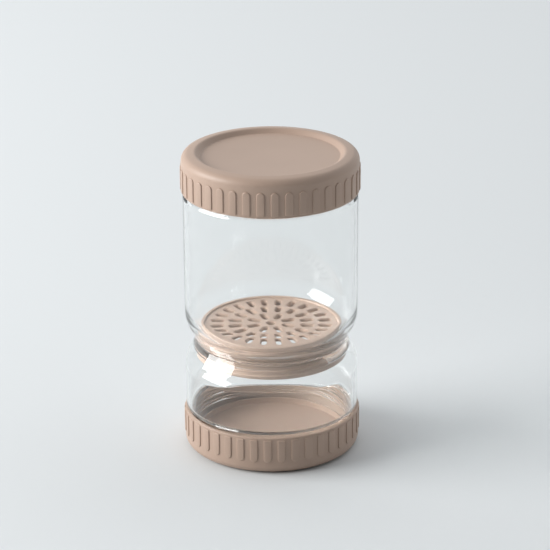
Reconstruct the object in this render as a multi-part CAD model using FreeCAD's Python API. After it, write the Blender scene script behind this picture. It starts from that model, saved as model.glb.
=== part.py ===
import FreeCAD, Part
import math
import os

# Double-ended keeper, millimetres, +Z up, origin at the middle of the ring that it stands on.
# Two clear jars meet at a waist, where a strainer coupling joins them. Two screw lids close the wide mouths.

# Heights that add up to the whole
lid_height = 20.0
lower_jar_show = 37.4
upper_jar_show = 79.2
seam_gap = 0.3

# Jars, each measured from its waist mouth towards its wide mouth
body_radius = 43.9
jar_wall = 2.0
neck_step = 2.7
neck_wall = 2.0
shoulder_round = 2.0
neck_foot_round = 0.4
shoulder_clear = 0.8
lip_round = 0.8
waist_depth = 5.7
waist_edge_round = 0.35
waist_lip_thick = 1.3
lower_taper = 0.60
lower_taper_round = 12.9
lower_bore_depth = 6.0
lower_inner_taper = 1.0
upper_taper = 0.512
upper_taper_round = 19.4
upper_bore_depth = 5.0
upper_inner_taper = 0.75

# Lid, with its open edge down and its crown up
lid_wall = 1.9
lid_edge_round = 0.5
crown_round = 4.0
crown_thick = 1.2
crest_width = 3.2
crest_roll = 2.2
recess_depth = 2.4
recess_slope_width = 2.4
recess_round = 1.0
gasket_lip_thick = 0.9
gasket_lip_height = 3.0

# Grip ribs round each lid
rib_count = 40
rib_height = 0.5
rib_width = 4.0
rib_edge_gap = 1.1
rib_crown_gap = 2.8
rib_foot_round = 0.5
rib_turn = 2.8

# Strainer coupling, heights from the seam between the jars
sleeve_below = 8.9
sleeve_above = 7.9
sleeve_wall = 2.0
sleeve_end_round = 0.5
floor_thick = 1.8
floor_lip = 0.8
floor_corner_round = 1.2

# Drain slots in the strainer's floor, in rings round a small middle hole
slot_width = 3.0
slot_rings = 3
slots_more_each_ring = 8
slot_ring_gap = 2.4
slot_free_middle = 6.0
slot_free_edge = 3.0
centre_hole_radius = 2.2

# Silicone rings
gasket_thick = 1.5
gasket_round = 0.3
seal_depth = 1.3
seal_height = 1.4
seal_round = 0.4
seal_offset = 2.3

# Clearances
thread_room = 0.9
lid_thread_room = 1.4
side_clear = 0.3
lip_clear = 0.5
seat_gap = 0.2

# Values that follow from those above
waist_z = lid_height + lower_jar_show
top_edge_z = waist_z + upper_jar_show
neck_radius = body_radius - neck_step
mouth_radius = neck_radius - neck_wall
lid_inner_radius = neck_radius + lid_thread_room
lid_base_radius = lid_inner_radius + lid_wall
lid_radius = lid_base_radius + rib_height
lid_ceiling = lid_height - recess_depth - crown_thick
neck_height = lid_ceiling - gasket_thick - 2 * seat_gap
gasket_lip_radius = mouth_radius - lip_clear
waist_radius = body_radius - waist_depth
waist_bore = waist_radius - waist_lip_thick
sleeve_radius = waist_bore - thread_room
sleeve_inner_radius = sleeve_radius - sleeve_wall
seal_groove_radius = sleeve_radius + side_clear - seal_depth

up = FreeCAD.Vector(0, 0, 1)
middle_point = FreeCAD.Vector(0, 0, 0)
shortest_line = 1e-6


def corner_arc(before, corner, after, radius):
    """First, middle and last point of the arc that rounds one corner of an outline."""
    to_before = (before - corner).normalize()
    to_after = (after - corner).normalize()
    half_angle = to_before.getAngle(to_after) / 2
    reach = radius / math.tan(half_angle)
    start = corner + to_before * reach
    end = corner + to_after * reach
    inward = (to_before + to_after).normalize()
    centre = corner + inward * (radius / math.sin(half_angle))
    return start, centre - inward * radius, end


def rounded_face(corners):
    """Flat face inside an outline of (point, corner rounding). Two roundings may meet with no straight between."""
    count = len(corners)
    stretches = []
    for i in range(count):
        point, rounding = corners[i]
        if rounding > 0:
            stretches.append(corner_arc(corners[i - 1][0], point, corners[(i + 1) % count][0], rounding))
        else:
            stretches.append((point,))
    edges = []
    for i in range(count):
        if len(stretches[i]) == 3:
            edges.append(Part.Arc(*stretches[i]).toShape())
        end = stretches[i][-1]
        start = stretches[(i + 1) % count][0]
        if end.distanceToPoint(start) > shortest_line:
            edges.append(Part.LineSegment(end, start).toShape())
    return Part.Face(Part.Wire(edges))


def revolved(points):
    """Solid turned about Z from a closed outline, given as (radius, height, corner rounding)."""
    face = rounded_face([(FreeCAD.Vector(r, 0, z), rounding) for r, z, rounding in points])
    return face.revolve(middle_point, up, 360)


def around(shape, count, first_turn):
    """Copies of a shape at equal steps about Z."""
    copies = []
    for i in range(count):
        copy = shape.copy()
        copy.rotate(middle_point, up, first_turn + 360.0 * i / count)
        copies.append(copy)
    return copies


def upside_down(shape):
    turned = shape.copy()
    turned.rotate(middle_point, FreeCAD.Vector(1, 0, 0), 180)
    return turned


def at_height(shape, height):
    moved = shape.copy()
    moved.translate(up * height)
    return moved


def lid_shell():
    """Lid without its ribs: open edge at 0, a sunken disc in the crown, a lip inside that keeps the gasket."""
    crest_outer = lid_base_radius - crown_round
    crest_inner = crest_outer - crest_width
    disc_edge = crest_inner - recess_slope_width
    disc_z = lid_height - recess_depth
    lip_inner = gasket_lip_radius - gasket_lip_thick
    lip_z = lid_ceiling - gasket_lip_height
    lip_end_round = gasket_lip_thick / 3
    return revolved([
        (0, disc_z, 0),
        (disc_edge, disc_z, recess_round),
        (crest_inner, lid_height, crest_roll),
        (lid_base_radius, lid_height, crown_round),
        (lid_base_radius, 0, lid_edge_round),
        (lid_inner_radius, 0, lid_edge_round),
        (lid_inner_radius, lid_ceiling, 0),
        (gasket_lip_radius, lid_ceiling, 0),
        (gasket_lip_radius, lip_z, lip_end_round),
        (lip_inner, lip_z, lip_end_round),
        (lip_inner, lid_ceiling, 0),
        (0, lid_ceiling, 0),
    ])


def grip_rib():
    """One upright bar on the lid's side that faces -Y: square at the open edge, half round towards the crown."""
    half = rib_width / 2
    top = lid_height - crown_round - rib_crown_gap
    inside = -(lid_base_radius - rib_height)
    bar = rounded_face([
        (FreeCAD.Vector(-half, inside, rib_edge_gap), rib_foot_round),
        (FreeCAD.Vector(half, inside, rib_edge_gap), rib_foot_round),
        (FreeCAD.Vector(half, inside, top), half),
        (FreeCAD.Vector(-half, inside, top), half),
    ]).extrude(FreeCAD.Vector(0, -3 * rib_height, 0))
    return bar.common(Part.makeCylinder(lid_radius, lid_height))


def ribbed_lid():
    ribs = around(grip_rib(), rib_count, rib_turn)
    return lid_shell().multiFuse(ribs).removeSplitter()


def lid_gasket():
    """Flat ring against the ceiling of a lid, between its wall and its lip."""
    top = lid_ceiling - seat_gap
    inner = gasket_lip_radius + side_clear
    outer = lid_inner_radius - side_clear
    return revolved([
        (inner, top, gasket_round),
        (outer, top, gasket_round),
        (outer, top - gasket_thick, gasket_round),
        (inner, top - gasket_thick, gasket_round),
    ])


def jar(show, taper, taper_round, bore_depth, inner_taper):
    """Clear jar, its waist mouth down at 0. What shows ends at the lid's edge, and the neck goes into the lid."""
    taper_end = waist_depth / taper
    shoulder_z = show - shoulder_clear
    rim_z = show + neck_height
    outer_round = min(shoulder_round, 0.8 * neck_step)
    foot_round = min(neck_foot_round, 0.15 * neck_step)
    inner_radius = body_radius - jar_wall
    inner_taper_end = bore_depth + (inner_radius - waist_bore) / inner_taper
    inner_step = inner_radius - mouth_radius
    inner_shoulder_z = shoulder_z - shoulder_round
    return revolved([
        (waist_bore, 0, waist_edge_round),
        (waist_radius, 0, waist_edge_round),
        (body_radius, taper_end, taper_round),
        (body_radius, shoulder_z, outer_round),
        (neck_radius, shoulder_z, foot_round),
        (neck_radius, rim_z, lip_round),
        (mouth_radius, rim_z, lip_round),
        (mouth_radius, inner_shoulder_z + inner_step, inner_step / 2),
        (inner_radius, inner_shoulder_z, inner_step / 2),
        (inner_radius, inner_taper_end, taper_round - jar_wall),
        (waist_bore, bore_depth, 0),
    ])


def strainer_turning():
    """Turned form of the coupling: a sleeve with two grooves outside, closed by a floor near its top."""
    floor_z = sleeve_above - floor_lip
    under_z = floor_z - floor_thick
    half = seal_height / 2 + seat_gap
    outline = [
        (0, floor_z, 0),
        (sleeve_inner_radius, floor_z, 0),
        (sleeve_inner_radius, sleeve_above, sleeve_end_round),
        (sleeve_radius, sleeve_above, sleeve_end_round),
    ]
    for groove_z in (seal_offset, -seal_offset):
        outline += [
            (sleeve_radius, groove_z + half, 0),
            (seal_groove_radius, groove_z + half, 0),
            (seal_groove_radius, groove_z - half, 0),
            (sleeve_radius, groove_z - half, 0),
        ]
    outline += [
        (sleeve_radius, -sleeve_below, sleeve_end_round),
        (sleeve_inner_radius, -sleeve_below, sleeve_end_round),
        (sleeve_inner_radius, under_z, floor_corner_round),
        (0, under_z, 0),
    ]
    return revolved(outline)


def round_ended_slot(start, end, height):
    half = slot_width / 2
    corners = ((start, -half), (end, -half), (end, half), (start, half))
    return rounded_face([(FreeCAD.Vector(x, y, height), half) for x, y in corners])


def drain_slots():
    """Cutters for the floor: rings of radial slots with round ends, and a hole in the middle."""
    deep = 3 * floor_thick
    low = sleeve_above - floor_lip - 2 * floor_thick
    reach = sleeve_inner_radius - slot_free_edge - slot_free_middle
    length = (reach - (slot_rings - 1) * slot_ring_gap) / slot_rings
    cutters = [Part.makeCylinder(centre_hole_radius, deep, up * low)]
    for ring in range(slot_rings):
        count = slots_more_each_ring * (ring + 1)
        inner_end = slot_free_middle + ring * (length + slot_ring_gap)
        slot = round_ended_slot(inner_end, inner_end + length, low).extrude(up * deep)
        cutters.extend(around(slot, count, 180.0 / count))
    return cutters


def strainer():
    return strainer_turning().cut(drain_slots())


def seal_ring():
    """Silicone ring for a groove of the coupling, its middle at 0."""
    inner = seal_groove_radius + side_clear
    outer = waist_bore - side_clear
    half = seal_height / 2
    return revolved([
        (inner, -half, seal_round),
        (outer, -half, seal_round),
        (outer, half, seal_round),
        (inner, half, seal_round),
    ])


def keeper_pieces():
    """All pieces where they are when the keeper is closed."""
    half_gap = seam_gap / 2
    lid = ribbed_lid()
    lower = jar(lower_jar_show - half_gap, lower_taper, lower_taper_round, lower_bore_depth, lower_inner_taper)
    upper = jar(upper_jar_show - half_gap, upper_taper, upper_taper_round, upper_bore_depth, upper_inner_taper)
    return {
        "bottom_lid": at_height(upside_down(lid), lid_height),
        "bottom_lid_gasket": at_height(upside_down(lid_gasket()), lid_height),
        "lower_jar": at_height(upside_down(lower), waist_z - half_gap),
        "lower_seal_ring": at_height(seal_ring(), waist_z - seal_offset),
        "strainer": at_height(strainer(), waist_z),
        "upper_seal_ring": at_height(seal_ring(), waist_z + seal_offset),
        "upper_jar": at_height(upper, waist_z + half_gap),
        "top_lid_gasket": at_height(lid_gasket(), top_edge_z),
        "top_lid": at_height(lid, top_edge_z),
    }


os.makedirs("parts", exist_ok=True)
for node, shape in keeper_pieces().items():
    solid = shape.Solids[0]
    solid.exportStep("parts/" + node + ".step")
    box = solid.BoundBox
    print(node, len(shape.Solids), solid.isValid(), round(solid.Volume), round(box.ZMin, 2), round(box.ZMax, 2))
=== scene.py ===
import bpy
import math
from mathutils import Matrix, Vector


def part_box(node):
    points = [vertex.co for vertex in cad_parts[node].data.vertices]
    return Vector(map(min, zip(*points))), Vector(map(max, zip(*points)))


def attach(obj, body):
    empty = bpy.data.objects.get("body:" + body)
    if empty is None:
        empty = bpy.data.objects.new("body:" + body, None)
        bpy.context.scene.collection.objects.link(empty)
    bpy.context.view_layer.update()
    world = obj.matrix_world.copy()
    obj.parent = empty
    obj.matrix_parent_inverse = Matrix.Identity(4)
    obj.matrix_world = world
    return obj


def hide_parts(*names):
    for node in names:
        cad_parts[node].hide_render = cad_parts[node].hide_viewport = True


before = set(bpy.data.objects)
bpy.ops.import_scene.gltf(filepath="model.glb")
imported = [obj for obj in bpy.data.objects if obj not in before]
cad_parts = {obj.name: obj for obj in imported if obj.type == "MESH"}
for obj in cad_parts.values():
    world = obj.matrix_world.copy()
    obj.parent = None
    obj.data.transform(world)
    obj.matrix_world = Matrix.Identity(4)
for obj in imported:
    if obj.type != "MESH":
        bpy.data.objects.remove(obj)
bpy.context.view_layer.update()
mm = 0.001  # piece sizes below are in millimetres, the scene is in metres


# The levels that all pieces share, read from the frame

def nodeSpan(node):
    low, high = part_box(node)
    return low.z / mm, high.z / mm, (high.x - low.x) / 2 / mm


lidHeight = nodeSpan("bottom_lid")[1]
topEdge, crownTop, lidRadius = nodeSpan("top_lid")
lowerRim, lowerMouth, bodyRadius = nodeSpan("lower_jar")
upperMouth, upperRim, _ = nodeSpan("upper_jar")
sleeveLow, sleeveHigh, sleeveRadius = nodeSpan("strainer")
seamHeight = (lowerMouth + upperMouth) / 2

turning = {
    "segments": 240,     # steps round the axis of every turned piece
    "arcSteps": 9,       # steps in a quarter turn of a corner rounded to arcRound or less
    "arcRound": 3.0,     # millimetres, larger roundings have finer steps
    "smoothAngle": 32,   # degrees, sharper edges stay crisp
    "joinDistance": 0.002,
}


# Ways of working that all pieces share

def deselectAll():
    if bpy.context.object and bpy.context.object.mode != "OBJECT":
        bpy.ops.object.mode_set(mode="OBJECT")
    bpy.ops.object.select_all(action="DESELECT")


def workOn(piece):
    deselectAll()
    piece.select_set(True)
    bpy.context.view_layer.objects.active = piece


def inEditMode(piece):
    workOn(piece)
    bpy.ops.object.mode_set(mode="EDIT")
    bpy.ops.mesh.select_all(action="DESELECT")


def selectPoints(piece, wanted):
    # selects the points that the test wants, from edit mode and back to it
    bpy.ops.mesh.select_mode(type="VERT")
    bpy.ops.mesh.select_all(action="DESELECT")
    bpy.ops.object.mode_set(mode="OBJECT")
    for vertex in piece.data.vertices:
        vertex.select = wanted(vertex.co / mm)
    bpy.ops.object.mode_set(mode="EDIT")


def cleanUp(piece):
    # merges doubles and turns all faces outwards
    inEditMode(piece)
    bpy.ops.mesh.select_all(action="SELECT")
    bpy.ops.mesh.remove_doubles(threshold=turning["joinDistance"] * mm)
    bpy.ops.mesh.normals_make_consistent(inside=False)
    bpy.ops.object.mode_set(mode="OBJECT")


def startOutline(name, point):
    # a single point, made from a small plane
    deselectAll()
    bpy.ops.mesh.primitive_plane_add(size=mm, location=(0, 0, 0))
    piece = bpy.context.object
    piece.name = name
    bpy.ops.object.mode_set(mode="EDIT")
    bpy.ops.mesh.merge(type="CENTER")
    bpy.ops.transform.translate(value=point)
    return piece


def drawLine(start, end):
    bpy.ops.mesh.extrude_vertices_move(TRANSFORM_OT_translate={"value": end - start})
    return end


def drawCorner(here, corner, following, rounding):
    # draws on to a corner, rounded where it has a rounding
    if rounding == 0:
        return drawLine(here, corner)
    incoming = (corner - here).normalized()
    outgoing = (following - corner).normalized()
    turn = math.atan2(incoming.x * outgoing.z - incoming.z * outgoing.x, incoming.dot(outgoing))
    reach = rounding * math.tan(abs(turn) / 2)
    arcStart = corner - incoming * reach
    centre = arcStart + Vector((-incoming.z, 0, incoming.x)) * math.copysign(rounding, turn)
    drawLine(here, arcStart)
    finer = max(1.0, math.sqrt(rounding / (turning["arcRound"] * mm)))
    steps = max(3, math.ceil(turning["arcSteps"] * finer * abs(turn) / (math.pi / 2)))
    bpy.ops.mesh.spin(steps=steps, angle=turn, center=centre, axis=(0, 1, 0))
    return corner + outgoing * reach


def drawOutline(name, outline, closed):
    # outline in the XZ plane from (radius, height, rounding); an open one starts and ends on the axis
    corners = [Vector((radius, 0, height)) * mm for radius, height, _ in outline]
    start = (corners[-1] + corners[0]) / 2 if closed else corners[0]
    piece = startOutline(name, start)
    here = start
    for i in range(0 if closed else 1, len(outline)):
        following = corners[i + 1] if i + 1 < len(outline) else start
        here = drawCorner(here, corners[i], following, outline[i][2] * mm)
    if closed:
        drawLine(here, start)
    bpy.ops.mesh.select_all(action="SELECT")
    bpy.ops.mesh.remove_doubles(threshold=turning["joinDistance"] * mm)
    return piece


def turnedForm(name, outline, closed=True):
    piece = drawOutline(name, outline, closed)
    bpy.ops.mesh.select_all(action="SELECT")
    bpy.ops.mesh.spin(steps=turning["segments"], angle=2 * math.pi, center=(0, 0, 0), axis=(0, 0, 1))
    cleanUp(piece)
    return piece


def joined(pieces):
    workOn(pieces[0])
    for piece in pieces:
        piece.select_set(True)
    if len(pieces) > 1:
        bpy.ops.object.join()
    return bpy.context.object


def copiesAround(piece, count, firstTurn=0.0):
    # equal steps about Z, each copy with its own mesh, joined to one object; turns in degrees
    copies = []
    for i in range(count):
        copy = piece.copy()
        copy.data = piece.data.copy()
        bpy.context.collection.objects.link(copy)
        workOn(copy)
        copy.rotation_euler.z = math.radians(firstTurn + 360 * i / count)
        bpy.ops.object.transform_apply(location=True, rotation=True, scale=True)
        copies.append(copy)
    bpy.data.objects.remove(piece)
    return joined(copies)


def withSolid(piece, tool, operation):
    # adds or cuts another solid, which is used up
    workOn(piece)
    modifier = piece.modifiers.new(operation.lower(), "BOOLEAN")
    modifier.operation = operation
    modifier.solver = "EXACT"
    modifier.object = tool
    bpy.ops.object.modifier_apply(modifier=modifier.name)
    bpy.data.objects.remove(tool)
    return piece


def finished(piece, material, body, slotName, *nodes):
    workOn(piece)
    bpy.ops.object.transform_apply(location=True, rotation=True, scale=True)
    bpy.ops.object.shade_smooth_by_angle(angle=math.radians(turning["smoothAngle"]))
    piece.data.materials.clear()
    piece.data.materials.append(material)
    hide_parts(*nodes)
    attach(piece, body)
    print("made", piece.name, len(piece.data.polygons), "faces")
    return piece


# Screw threads, right-handed with two starts, whose ridges fade out at both ends

lidThread = {
    "lead": 9.0, "starts": 2, "foot": 2.3, "crest": 0.9, "height": 1.0, "round": 0.3, "buried": 0.5,
    "fade": 0.12,
}
waistThread = {
    "lead": 4.2, "starts": 2, "foot": 1.15, "crest": 0.4, "height": 0.6, "round": 0.15, "buried": 0.4,
    "fade": 0.12,
}
threadMaking = {
    "stepShare": 0.6,   # steps in one turn of a ridge, as a share of a turned piece's segments
    "leastSteps": 12,
    "mostFade": 0.45,   # share of a short ridge over which each end may fade
    "endSink": 0.08,    # how far a faded end lies under the wall
}


def fadeEnds(ridge, profileCount, surface, side, share):
    steps = len(ridge.data.vertices) // profileCount - 1
    for vertex in ridge.data.vertices:
        along = (vertex.index // profileCount) / steps
        rise = min(1.0, min(along, 1 - along) / share)
        radius = math.hypot(vertex.co.x, vertex.co.y)
        proud = (radius / mm - surface) * side
        if proud > 0 and rise < 1:
            kept = surface + side * (proud * rise - threadMaking["endSink"] * (1 - rise))
            vertex.co.x *= kept * mm / radius
            vertex.co.y *= kept * mm / radius


def threadRidges(thread, surface, side, low, high, heightAtFront):
    # side 1 stands out of a wall, -1 stands into a bore; low and high bound the ridge's middle line, which
    # passes the XZ plane at heightAtFront
    base = surface - side * thread["buried"]
    crest = surface + side * thread["height"]
    slope = (thread["foot"] - thread["crest"]) / 2 / thread["height"]
    footHalf = thread["foot"] / 2 + slope * thread["buried"]
    crestHalf = thread["crest"] / 2
    profile = drawOutline("threadRidge", [
        (base, low - footHalf, 0),
        (crest, low - crestHalf, thread["round"]),
        (crest, low + crestHalf, thread["round"]),
        (base, low + footHalf, 0),
    ], closed=True)
    bpy.ops.object.mode_set(mode="OBJECT")
    profileCount = len(profile.data.vertices)
    turns = (high - low) / thread["lead"]
    screw = profile.modifiers.new("screw", "SCREW")
    screw.angle = 2 * math.pi * turns
    screw.screw_offset = (high - low) * mm
    steps = round(turning["segments"] * threadMaking["stepShare"] * turns)
    screw.steps = screw.render_steps = max(threadMaking["leastSteps"], steps)
    screw.use_merge_vertices = False
    bpy.ops.object.modifier_apply(modifier="screw")
    fadeEnds(profile, profileCount, surface, side, min(threadMaking["mostFade"], thread["fade"] / turns))
    inEditMode(profile)
    bpy.ops.mesh.select_all(action="SELECT")
    bpy.ops.mesh.fill_holes(sides=0)
    bpy.ops.mesh.select_all(action="SELECT")
    bpy.ops.mesh.quads_convert_to_tris()
    bpy.ops.object.mode_set(mode="OBJECT")
    cleanUp(profile)
    firstTurn = 360 * (low - heightAtFront) / thread["lead"]
    return copiesAround(profile, thread["starts"], firstTurn)


# Finishes

grainNoise = {"driftScale": 55, "driftDetail": 3, "grainDetail": 2}


def socketOf(tree, name, way, kind, value=None):
    socket = tree.interface.new_socket(name=name, in_out=way, socket_type=kind)
    if value is not None:
        socket.default_value = value
    return socket


def mouldedSurfaceGroup():
    # tone that drifts slowly over the piece, and the fine grain of a spark-eroded mould
    tree = bpy.data.node_groups.new("mouldedSurface", "ShaderNodeTree")
    socketOf(tree, "Vector", "INPUT", "NodeSocketVector")
    socketOf(tree, "Tone", "INPUT", "NodeSocketColor")
    socketOf(tree, "Drift", "INPUT", "NodeSocketFloat", 0.04)
    socketOf(tree, "Grain Scale", "INPUT", "NodeSocketFloat", 2600)
    socketOf(tree, "Roughness", "INPUT", "NodeSocketFloat", 0.5)
    socketOf(tree, "Roughness Spread", "INPUT", "NodeSocketFloat", 0.08)
    socketOf(tree, "Color", "OUTPUT", "NodeSocketColor")
    socketOf(tree, "Roughness", "OUTPUT", "NodeSocketFloat")
    socketOf(tree, "Height", "OUTPUT", "NodeSocketFloat")
    nodes = tree.nodes
    link = tree.links.new
    given = nodes.new("NodeGroupInput")
    result = nodes.new("NodeGroupOutput")

    slow = nodes.new("ShaderNodeTexNoise")
    slow.inputs["Scale"].default_value = grainNoise["driftScale"]
    slow.inputs["Detail"].default_value = grainNoise["driftDetail"]
    link(given.outputs["Vector"], slow.inputs["Vector"])
    fine = nodes.new("ShaderNodeTexNoise")
    fine.inputs["Detail"].default_value = grainNoise["grainDetail"]
    link(given.outputs["Vector"], fine.inputs["Vector"])
    link(given.outputs["Grain Scale"], fine.inputs["Scale"])

    centred = nodes.new("ShaderNodeMath")
    centred.operation = "SUBTRACT"
    link(slow.outputs["Fac"], centred.inputs[0])
    centred.inputs[1].default_value = 0.5
    amount = nodes.new("ShaderNodeMath")
    amount.operation = "MULTIPLY_ADD"
    link(centred.outputs[0], amount.inputs[0])
    link(given.outputs["Drift"], amount.inputs[1])
    amount.inputs[2].default_value = 1.0
    tinted = nodes.new("ShaderNodeVectorMath")
    tinted.operation = "SCALE"
    link(given.outputs["Tone"], tinted.inputs[0])
    link(amount.outputs[0], tinted.inputs["Scale"])
    link(tinted.outputs[0], result.inputs["Color"])

    spread = nodes.new("ShaderNodeMath")
    spread.operation = "SUBTRACT"
    link(fine.outputs["Fac"], spread.inputs[0])
    spread.inputs[1].default_value = 0.5
    rough = nodes.new("ShaderNodeMath")
    rough.operation = "MULTIPLY_ADD"
    link(spread.outputs[0], rough.inputs[0])
    link(given.outputs["Roughness Spread"], rough.inputs[1])
    link(given.outputs["Roughness"], rough.inputs[2])
    link(rough.outputs[0], result.inputs["Roughness"])
    link(fine.outputs["Fac"], result.inputs["Height"])
    return tree


def newMaterial(name):
    material = bpy.data.materials.new(name)
    material.use_nodes = True
    nodes = material.node_tree.nodes
    return material, nodes, material.node_tree.links.new, nodes["Principled BSDF"]


def mouldedMaterial(name, values, group):
    material, nodes, link, shader = newMaterial(name)
    place = nodes.new("ShaderNodeTexCoord")
    surface = nodes.new("ShaderNodeGroup")
    surface.node_tree = group
    for socketName in ("Drift", "Grain Scale", "Roughness", "Roughness Spread"):
        surface.inputs[socketName].default_value = values[socketName]
    surface.inputs["Tone"].default_value = (*values["tone"], 1)
    bump = nodes.new("ShaderNodeBump")
    bump.inputs["Strength"].default_value = values["bump"]
    bump.inputs["Distance"].default_value = values["bumpDepth"] * mm
    link(place.outputs["Object"], surface.inputs["Vector"])
    link(surface.outputs["Color"], shader.inputs["Base Color"])
    link(surface.outputs["Roughness"], shader.inputs["Roughness"])
    link(surface.outputs["Height"], bump.inputs["Height"])
    link(bump.outputs["Normal"], shader.inputs["Normal"])
    shader.inputs["IOR"].default_value = values["ior"]
    shader.inputs["Subsurface Weight"].default_value = values["scatter"]
    shader.inputs["Subsurface Radius"].default_value = scatterRadius
    shader.inputs["Subsurface Scale"].default_value = 1.0
    return material


def clearMaterial(name, values):
    material, nodes, link, shader = newMaterial(name)
    place = nodes.new("ShaderNodeTexCoord")
    ripple = nodes.new("ShaderNodeTexNoise")
    ripple.inputs["Scale"].default_value = values["rippleScale"]
    ripple.inputs["Detail"].default_value = 1
    bump = nodes.new("ShaderNodeBump")
    bump.inputs["Strength"].default_value = values["ripple"]
    bump.inputs["Distance"].default_value = values["rippleDepth"] * mm
    link(place.outputs["Object"], ripple.inputs["Vector"])
    link(ripple.outputs["Fac"], bump.inputs["Height"])
    link(bump.outputs["Normal"], shader.inputs["Normal"])
    shader.inputs["Base Color"].default_value = (*values["tone"], 1)
    shader.inputs["Roughness"].default_value = values["roughness"]
    shader.inputs["IOR"].default_value = values["ior"]
    shader.inputs["Transmission Weight"].default_value = 1
    # lamps shine through the clear wall, so that it casts only a faint shadow
    path = nodes.new("ShaderNodeLightPath")
    through = nodes.new("ShaderNodeBsdfTransparent")
    through.inputs["Color"].default_value = (*values["shadowTone"], 1)
    mix = nodes.new("ShaderNodeMixShader")
    link(path.outputs["Is Shadow Ray"], mix.inputs["Fac"])
    link(shader.outputs["BSDF"], mix.inputs[1])
    link(through.outputs["BSDF"], mix.inputs[2])
    link(mix.outputs["Shader"], nodes["Material Output"].inputs["Surface"])
    return material


finishes = {
    "lidPlastic": {
        "tone": (0.435, 0.315, 0.248), "Drift": 0.07, "Grain Scale": 2400, "Roughness": 0.46,
        "Roughness Spread": 0.16, "bump": 0.35, "bumpDepth": 0.03, "ior": 1.46, "scatter": 0.0,
    },
    "strainerPlastic": {
        "tone": (0.43, 0.31, 0.243), "Drift": 0.05, "Grain Scale": 2400, "Roughness": 0.38,
        "Roughness Spread": 0.14, "bump": 0.25, "bumpDepth": 0.02, "ior": 1.5, "scatter": 0.0,
    },
    "silicone": {
        "tone": (0.32, 0.23, 0.18), "Drift": 0.05, "Grain Scale": 3200, "Roughness": 0.55,
        "Roughness Spread": 0.12, "bump": 0.2, "bumpDepth": 0.02, "ior": 1.41, "scatter": 0.1,
    },
}
scatterRadius = (0.0012, 0.0009, 0.0007)  # metres, for red, green and blue
clearFinish = {
    "tone": (0.975, 0.982, 0.98), "roughness": 0.02, "ior": 1.49, "ripple": 0.25, "rippleScale": 90,
    "rippleDepth": 0.02, "shadowTone": (0.88, 0.89, 0.89),
}

mouldedSurface = mouldedSurfaceGroup()
materials = {name: mouldedMaterial(name, values, mouldedSurface) for name, values in finishes.items()}
materials["clearPlastic"] = clearMaterial("clearPlastic", clearFinish)
print("finishes are ready")


# Screw lid with a sunken crown and grip ribs, open edge at 0

lidSizes = {
    "wall": 1.9, "edgeRound": 0.5, "crownRound": 4.0, "crownThick": 1.2, "ceilingRound": 0.3,
    "crestWidth": 3.2, "crestRoll": 2.2, "crestFall": 1.0,
    "recessDepth": 2.4, "recessSlope": 2.4, "recessRound": 1.0,
    "lipOuter": 38.7, "lipThick": 0.9, "lipHeight": 3.0, "lipOuterFoot": 0.2, "lipInnerFoot": 0.5,
    "ribCount": 40, "ribHeight": 0.5, "ribWidth": 4.0, "ribEdgeGap": 1.1, "ribCrownGap": 2.8,
    "ribTurn": 2.8,      # degrees from -Y to the first rib
    "ribFootRound": 0.5, "ribRound": 0.42, "ribSink": 0.8,
    "ribTopSteps": 10, "ribFootSteps": 3, "ribRimSteps": 4,
    "threadLow": 2.4, "threadHigh": 12.4, "threadFront": 2.4,
}


def lidShell(sizes):
    outer = lidRadius - sizes["ribHeight"]
    inner = outer - sizes["wall"]
    crestOuter = outer - sizes["crownRound"]
    crestInner = crestOuter - sizes["crestWidth"]
    disc = lidHeight - sizes["recessDepth"]
    ceiling = disc - sizes["crownThick"]
    lipInner = sizes["lipOuter"] - sizes["lipThick"]
    lipEnd = ceiling - sizes["lipHeight"]
    return turnedForm("screwLid", [
        (0, disc, 0),
        (crestInner - sizes["recessSlope"], disc, sizes["recessRound"]),
        (crestInner, lidHeight, sizes["crestRoll"]),
        (outer, lidHeight - sizes["crestFall"], sizes["crownRound"]),
        (outer, 0, sizes["edgeRound"]),
        (inner, 0, sizes["edgeRound"]),
        (inner, ceiling, sizes["ceilingRound"]),
        (sizes["lipOuter"], ceiling, sizes["lipOuterFoot"]),
        (sizes["lipOuter"], lipEnd, sizes["lipThick"] / 3),
        (lipInner, lipEnd, sizes["lipThick"] / 3),
        (lipInner, ceiling, sizes["lipInnerFoot"]),
        (0, ceiling, 0),
    ], closed=False)


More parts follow.
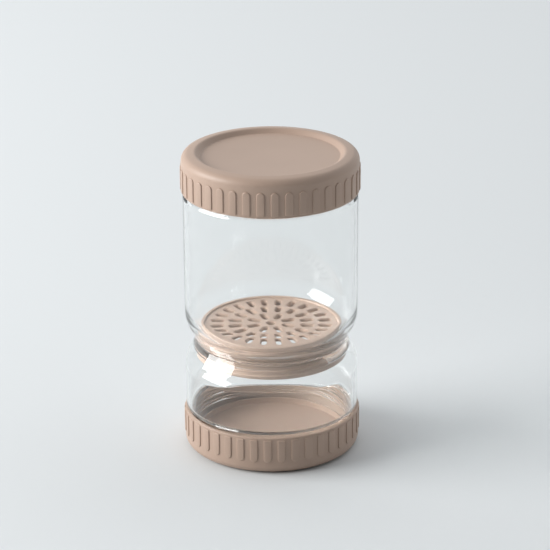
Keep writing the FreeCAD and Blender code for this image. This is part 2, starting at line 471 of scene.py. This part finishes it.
def gripRib(sizes):
    # one upright pad towards -Y: a square is pulled long, its corners are rounded, then it gets its thickness
    # and a soft rim
    width = sizes["ribWidth"]
    low = sizes["ribEdgeGap"]
    high = lidHeight - sizes["crownRound"] - sizes["ribCrownGap"]
    deselectAll()
    bpy.ops.mesh.primitive_plane_add(
        size=width * mm, location=Vector((0, -lidRadius, low + width / 2)) * mm, rotation=(math.pi / 2, 0, 0))
    rib = bpy.context.object
    bpy.ops.object.transform_apply(location=True, rotation=True, scale=True)
    inEditMode(rib)
    selectPoints(rib, lambda point: point.z > low + width / 2)
    bpy.ops.transform.translate(value=(0, 0, (high - low - width) * mm))
    bpy.ops.mesh.bevel(offset=width / 2 * mm, offset_type="OFFSET", segments=sizes["ribTopSteps"],
                       profile=0.5, affect="VERTICES")
    selectPoints(rib, lambda point: point.z < low + 0.01)
    bpy.ops.mesh.bevel(offset=sizes["ribFootRound"] * mm, offset_type="OFFSET",
                       segments=sizes["ribFootSteps"], profile=0.5, affect="VERTICES")
    bpy.ops.mesh.select_all(action="SELECT")
    bpy.ops.mesh.remove_doubles(threshold=turning["joinDistance"] * mm)
    bpy.ops.mesh.select_all(action="SELECT")
    bpy.ops.mesh.extrude_region_move(
        TRANSFORM_OT_translate={"value": (0, (sizes["ribHeight"] + sizes["ribSink"]) * mm, 0)})
    selectPoints(rib, lambda point: point.y < -lidRadius + 0.1)
    bpy.ops.mesh.select_mode(type="EDGE")
    bpy.ops.mesh.bevel(offset=sizes["ribRound"] * mm, offset_type="OFFSET",
                       segments=sizes["ribRimSteps"], profile=0.5, affect="EDGES")
    bpy.ops.mesh.select_mode(type="VERT")
    bpy.ops.object.mode_set(mode="OBJECT")
    cleanUp(rib)
    return rib


def screwLid(sizes):
    lid = lidShell(sizes)
    ribs = copiesAround(gripRib(sizes), sizes["ribCount"], sizes["ribTurn"])
    lid = withSolid(lid, ribs, "UNION")
    inner = lidRadius - sizes["ribHeight"] - sizes["wall"]
    ridges = threadRidges(
        lidThread, inner, -1, sizes["threadLow"], sizes["threadHigh"], sizes["threadFront"])
    lid = withSolid(lid, ridges, "UNION")
    cleanUp(lid)
    return lid


def standingLid(lid, name, body, lift, upsideDown):
    piece = lid.copy()
    piece.data = lid.data.copy()
    bpy.context.collection.objects.link(piece)
    piece.name = name
    piece.rotation_euler.x = math.pi if upsideDown else 0
    piece.location.z = lift * mm
    return finished(piece, materials["lidPlastic"], body, "lid_plastic", body)


lidPattern = screwLid(lidSizes)
standingLid(lidPattern, "topLid", "top_lid", topEdge, False)
standingLid(lidPattern, "bottomLid", "bottom_lid", lidHeight, True)
bpy.data.objects.remove(lidPattern)


# Clear jars, each drawn from its waist mouth at 0 to its wide rim

jarSizes = {
    "wall": 2.0, "neckStep": 2.7, "neckWall": 2.0, "shoulderRound": 2.0, "footRound": 0.4,
    "shoulderClear": 0.8, "lipRound": 0.8,
    "waistDepth": 5.7, "waistEdgeRound": 0.35, "waistLip": 1.3, "boreRound": 0.6,
    "neckThread": (1.9, 12.3),     # from the lid's edge
    "waistThreadFront": -4.2,      # from the seam, where the sleeve's lower ridge passes the XZ plane
}
lowerJarSizes = {
    "taper": 0.60, "taperRound": 12.9, "boreDepth": 6.0, "innerTaper": 1.0, "waistThread": (-5.4, -4.0),
}
upperJarSizes = {
    "taper": 0.512, "taperRound": 19.4, "boreDepth": 5.0, "innerTaper": 0.75, "waistThread": (3.9, 4.5),
}


def jarOutline(sizes, own, show, rim):
    neck = bodyRadius - sizes["neckStep"]
    mouth = neck - sizes["neckWall"]
    waist = bodyRadius - sizes["waistDepth"]
    bore = waist - sizes["waistLip"]
    inner = bodyRadius - sizes["wall"]
    shoulder = show - sizes["shoulderClear"]
    innerShoulder = shoulder - sizes["shoulderRound"]
    innerStep = inner - mouth
    return [
        (bore, 0, sizes["waistEdgeRound"]),
        (waist, 0, sizes["waistEdgeRound"]),
        (bodyRadius, sizes["waistDepth"] / own["taper"], own["taperRound"]),
        (bodyRadius, shoulder, sizes["shoulderRound"]),
        (neck, shoulder, sizes["footRound"]),
        (neck, rim, sizes["lipRound"]),
        (mouth, rim, sizes["lipRound"]),
        (mouth, innerShoulder + innerStep, innerStep / 2),
        (inner, innerShoulder, innerStep / 2),
        (inner, own["boreDepth"] + (inner - bore) / own["innerTaper"], own["taperRound"] - sizes["wall"]),
        (bore, own["boreDepth"], sizes["boreRound"]),
    ]


def clearJar(name, body, own, foot, way, show, rim, threads):
    outline = [(radius, foot + way * height, rounding)
               for radius, height, rounding in jarOutline(jarSizes, own, show, rim)]
    jar = turnedForm(name, outline)
    for thread in threads:
        jar = withSolid(jar, threadRidges(*thread), "UNION")
    cleanUp(jar)
    return finished(jar, materials["clearPlastic"], body, "clear_plastic", body)


neckRadius = bodyRadius - jarSizes["neckStep"]
boreRadius = bodyRadius - jarSizes["waistDepth"] - jarSizes["waistLip"]
lidPitch = lidThread["lead"] / lidThread["starts"]
waistPitch = waistThread["lead"] / waistThread["starts"]
waistFront = seamHeight + jarSizes["waistThreadFront"]
neckLow, neckHigh = jarSizes["neckThread"]


def mouthThread(own):
    low, high = own["waistThread"]
    return (waistThread, boreRadius, -1, seamHeight + low, seamHeight + high, waistFront + waistPitch / 2)


clearJar(
    "upperJar", "upper_jar", upperJarSizes, upperMouth, 1, topEdge - upperMouth, upperRim - upperMouth, [
        (lidThread, neckRadius, 1, topEdge + neckLow, topEdge + neckHigh,
         topEdge + lidSizes["threadFront"] + lidPitch / 2),
        mouthThread(upperJarSizes),
    ])
clearJar(
    "lowerJar", "lower_jar", lowerJarSizes, lowerMouth, -1, lowerMouth - lidHeight, lowerMouth - lowerRim, [
        (lidThread, neckRadius, 1, lidHeight - neckHigh, lidHeight - neckLow,
         lidHeight - lidSizes["threadFront"] - lidPitch / 2),
        mouthThread(lowerJarSizes),
    ])


# Strainer coupling: a sleeve with two ring grooves outside, closed by a slotted floor

strainerSizes = {
    "wall": 2.0, "endRound": 0.5, "floorThick": 1.8, "floorLip": 0.8, "floorRound": 0.35,
    "cornerRound": 1.2,
    "grooveOffset": 2.3, "grooveHigh": 1.8, "grooveDeep": 1.0, "grooveRound": 0.15,
    "slotWidth": 3.0, "slotRings": 3, "slotsMoreEachRing": 8, "ringGap": 2.4, "freeMiddle": 6.0,
    "freeEdge": 3.0, "centreHole": 2.2, "slotChamfer": 0.3, "slotSteps": 24, "holeSteps": 32,
    "lowerThread": (-7.9, -4.0), "upperThread": (3.95, 5.6),   # from the seam
}


def strainerBody(sizes):
    inner = sleeveRadius - sizes["wall"]
    floorTop = sleeveHigh - sizes["floorLip"]
    floorUnder = floorTop - sizes["floorThick"]
    outline = [
        (0, floorTop, 0),
        (inner, floorTop, sizes["floorRound"]),
        (inner, sleeveHigh, sizes["endRound"]),
        (sleeveRadius, sleeveHigh, sizes["endRound"]),
    ]
    for middle in (seamHeight + sizes["grooveOffset"], seamHeight - sizes["grooveOffset"]):
        high = middle + sizes["grooveHigh"] / 2
        low = middle - sizes["grooveHigh"] / 2
        outline += [
            (sleeveRadius, high, sizes["grooveRound"]),
            (sleeveRadius - sizes["grooveDeep"], high, sizes["grooveRound"]),
            (sleeveRadius - sizes["grooveDeep"], low, sizes["grooveRound"]),
            (sleeveRadius, low, sizes["grooveRound"]),
        ]
    outline += [
        (sleeveRadius, sleeveLow, sizes["endRound"]),
        (inner, sleeveLow, sizes["endRound"]),
        (inner, floorUnder, sizes["cornerRound"]),
        (0, floorUnder, 0),
    ]
    return turnedForm("strainerCoupling", outline, closed=False)


def openingCutter(sizes, start, length, width, steps):
    # cutter for one opening along +X, flared at the top so that its rim is chamfered
    floorTop = sleeveHigh - sizes["floorLip"]
    chamfer = sizes["slotChamfer"]
    half = width / 2
    deselectAll()
    bpy.ops.mesh.primitive_circle_add(vertices=steps, radius=(half + 2 * chamfer) * mm, fill_type="NGON",
                                      location=Vector((start + half, 0, floorTop + chamfer)) * mm)
    cutter = bpy.context.object
    bpy.ops.object.transform_apply(location=True, rotation=True, scale=True)
    inEditMode(cutter)
    if length > width:
        selectPoints(cutter, lambda point: point.x > start + half + 0.01)
        bpy.ops.transform.translate(value=((length - width) * mm, 0, 0))
    bpy.ops.mesh.select_all(action="SELECT")
    bpy.ops.mesh.extrude_region_move(TRANSFORM_OT_translate={"value": (0, 0, -2 * chamfer * mm)})
    selectPoints(cutter, lambda point: point.z < floorTop)
    bpy.ops.mesh.select_mode(type="FACE")
    bpy.ops.mesh.inset(thickness=2 * chamfer * mm, depth=0)
    bpy.ops.mesh.extrude_region_move(
        TRANSFORM_OT_translate={"value": (0, 0, -(sizes["floorThick"] + 1) * mm)})
    bpy.ops.mesh.select_mode(type="VERT")
    bpy.ops.object.mode_set(mode="OBJECT")
    cleanUp(cutter)
    return cutter


def drainCutters(sizes):
    reach = sleeveRadius - sizes["wall"] - sizes["freeEdge"] - sizes["freeMiddle"]
    rings = sizes["slotRings"]
    length = (reach - (rings - 1) * sizes["ringGap"]) / rings
    hole = sizes["centreHole"]
    cutters = [openingCutter(sizes, -hole, 2 * hole, 2 * hole, sizes["holeSteps"])]
    for ring in range(rings):
        count = sizes["slotsMoreEachRing"] * (ring + 1)
        start = sizes["freeMiddle"] + ring * (length + sizes["ringGap"])
        slot = openingCutter(sizes, start, length, sizes["slotWidth"], sizes["slotSteps"])
        cutters.append(copiesAround(slot, count, 180 / count))
    return joined(cutters)


def strainerCoupling(sizes):
    strainer = withSolid(strainerBody(sizes), drainCutters(sizes), "DIFFERENCE")
    for low, high in (sizes["lowerThread"], sizes["upperThread"]):
        ridges = threadRidges(
            waistThread, sleeveRadius, 1, seamHeight + low, seamHeight + high, waistFront)
        strainer = withSolid(strainer, ridges, "UNION")
    cleanUp(strainer)
    return finished(strainer, materials["strainerPlastic"], "strainer", "strainer_plastic", "strainer")


strainerCoupling(strainerSizes)


# Silicone rings: flat gaskets in the lids, smaller rings in the coupling's grooves

ringSizes = {"gasketRound": 0.45, "sealRound": 0.5, "innerClear": 0.3}


def siliconeRing(name, node, inner, rounding):
    low, high, outer = nodeSpan(node)
    ring = turnedForm(name, [
        (inner, low, rounding),
        (outer, low, rounding),
        (outer, high, rounding),
        (inner, high, rounding),
    ])
    return finished(ring, materials["silicone"], node, "silicone", node)


gasketInner = lidSizes["lipOuter"] + ringSizes["innerClear"]
sealInner = sleeveRadius - strainerSizes["grooveDeep"] + ringSizes["innerClear"]
siliconeRing("bottomLidGasket", "bottom_lid_gasket", gasketInner, ringSizes["gasketRound"])
siliconeRing("topLidGasket", "top_lid_gasket", gasketInner, ringSizes["gasketRound"])
siliconeRing("lowerSealRing", "lower_seal_ring", sealInner, ringSizes["sealRound"])
siliconeRing("upperSealRing", "upper_seal_ring", sealInner, ringSizes["sealRound"])


# Floor, light and camera

stageValues = {
    "floorSize": 16.0, "floorTone": (0.690, 0.715, 0.727), "floorRoughness": 0.9, "floorSpecular": 0.2,
    "floorFar": 0.9, "floorFarGain": 1.12,
    "ambient": (0.567, 0.578, 0.588), "ambientLean": 1.25, "ambientLeast": 0.05,
    "leanTowards": (0.3, 1.0, 0.0), "seenAround": (0.80, 0.83, 0.84),
    "lampTone": (1.0, 0.995, 0.985), "lampPower": 76.0, "lampWide": 1.9, "lampTall": 1.1,
    "lampDistance": 2.4, "lampHeight": 23, "lampTurn": 6,      # metres and degrees
}
# a line of sight passes many clear walls in a row
clearWallBounces = {"max_bounces": 32, "transmission_bounces": 32, "glossy_bounces": 16}
cameraValues = {
    "focalLength": 163.1, "sensorWidth": 36, "nearest": 0.01,
    "place": (0.00202, -1.1745, 0.5455), "tilt": 68.82, "roll": -0.35,
}


def layFloor(values):
    deselectAll()
    bpy.ops.mesh.primitive_plane_add(size=values["floorSize"], location=(0, 0, 0))
    floor = bpy.context.object
    floor.name = "floor"
    material, nodes, link, shader = newMaterial("paleFloor")
    # the floor behind the object gets a lighter tone, so that it doesn't darken with distance
    place = nodes.new("ShaderNodeTexCoord")
    parts = nodes.new("ShaderNodeSeparateXYZ")
    gain = nodes.new("ShaderNodeMapRange")
    gain.inputs["From Min"].default_value = 0
    gain.inputs["From Max"].default_value = values["floorFar"]
    gain.inputs["To Min"].default_value = 1
    gain.inputs["To Max"].default_value = values["floorFarGain"]
    tone = nodes.new("ShaderNodeVectorMath")
    tone.operation = "SCALE"
    tone.inputs[0].default_value = values["floorTone"]
    link(place.outputs["Object"], parts.inputs[0])
    link(parts.outputs["Y"], gain.inputs["Value"])
    link(gain.outputs["Result"], tone.inputs["Scale"])
    link(tone.outputs[0], shader.inputs["Base Color"])
    shader.inputs["Roughness"].default_value = values["floorRoughness"]
    shader.inputs["Specular IOR Level"].default_value = values["floorSpecular"]
    floor.data.materials.append(material)


def lightAround(values):
    # soft light that is weaker from the front, and an even pale tone for what shines or shows through
    world = bpy.data.worlds.new("studio")
    bpy.context.scene.world = world
    world.use_nodes = True
    nodes = world.node_tree.nodes
    link = world.node_tree.links.new
    nodes.clear()
    place = nodes.new("ShaderNodeTexCoord")
    lean = nodes.new("ShaderNodeVectorMath")
    lean.operation = "DOT_PRODUCT"
    lean.inputs[1].default_value = values["leanTowards"]
    strength = nodes.new("ShaderNodeMath")
    strength.operation = "MULTIPLY_ADD"
    strength.inputs[1].default_value = values["ambientLean"]
    strength.inputs[2].default_value = 1
    least = nodes.new("ShaderNodeMath")
    least.operation = "MAXIMUM"
    least.inputs[1].default_value = values["ambientLeast"]
    link(place.outputs["Generated"], lean.inputs[0])
    link(lean.outputs["Value"], strength.inputs[0])
    link(strength.outputs[0], least.inputs[0])
    path = nodes.new("ShaderNodeLightPath")
    seen = nodes.new("ShaderNodeMath")
    seen.operation = "MAXIMUM"
    through = nodes.new("ShaderNodeMath")
    through.operation = "MAXIMUM"
    link(path.outputs["Is Camera Ray"], seen.inputs[0])
    link(path.outputs["Is Glossy Ray"], seen.inputs[1])
    link(seen.outputs[0], through.inputs[0])
    link(path.outputs["Is Transmission Ray"], through.inputs[1])
    soft = nodes.new("ShaderNodeBackground")
    soft.inputs["Color"].default_value = (*values["ambient"], 1)
    link(least.outputs[0], soft.inputs["Strength"])
    pale = nodes.new("ShaderNodeBackground")
    pale.inputs["Color"].default_value = (*values["seenAround"], 1)
    mix = nodes.new("ShaderNodeMixShader")
    link(through.outputs[0], mix.inputs["Fac"])
    link(soft.outputs[0], mix.inputs[1])
    link(pale.outputs[0], mix.inputs[2])
    output = nodes.new("ShaderNodeOutputWorld")
    link(mix.outputs[0], output.inputs["Surface"])


def hangLamp(values):
    # large soft box to the left, a little towards the front
    turn = math.radians(values["lampTurn"])
    height = math.radians(values["lampHeight"])
    level = math.cos(height)
    away = Vector((-math.cos(turn) * level, -math.sin(turn) * level, math.sin(height)))
    middle = Vector((0, 0, (crownTop / 2) * mm))
    bpy.ops.object.light_add(type="AREA", location=middle + away * values["lampDistance"])
    lamp = bpy.context.object
    lamp.name = "softBox"
    lamp.rotation_euler = (-away).to_track_quat("-Z", "Y").to_euler()
    lamp.data.shape = "RECTANGLE"
    lamp.data.size = values["lampWide"]
    lamp.data.size_y = values["lampTall"]
    lamp.data.energy = values["lampPower"]
    lamp.data.color = values["lampTone"]


def placeCamera(values):
    bpy.ops.object.camera_add(location=values["place"])
    camera = bpy.context.object
    tilt = Matrix.Rotation(math.radians(values["tilt"]), 3, "X")
    roll = Matrix.Rotation(math.radians(values["roll"]), 3, "Z")
    camera.rotation_euler = (tilt @ roll).to_euler()
    camera.name = "photoCamera"
    camera.data.sensor_width = values["sensorWidth"]
    camera.data.lens = values["focalLength"]
    camera.data.clip_start = values["nearest"]
    bpy.context.scene.camera = camera


deselectAll()
layFloor(stageValues)
lightAround(stageValues)
hangLamp(stageValues)
placeCamera(cameraValues)
bpy.context.scene.view_settings.view_transform = "Standard"
for bounceLimit, count in clearWallBounces.items():
    setattr(bpy.context.scene.cycles, bounceLimit, count)
print("floor, light and camera are set")
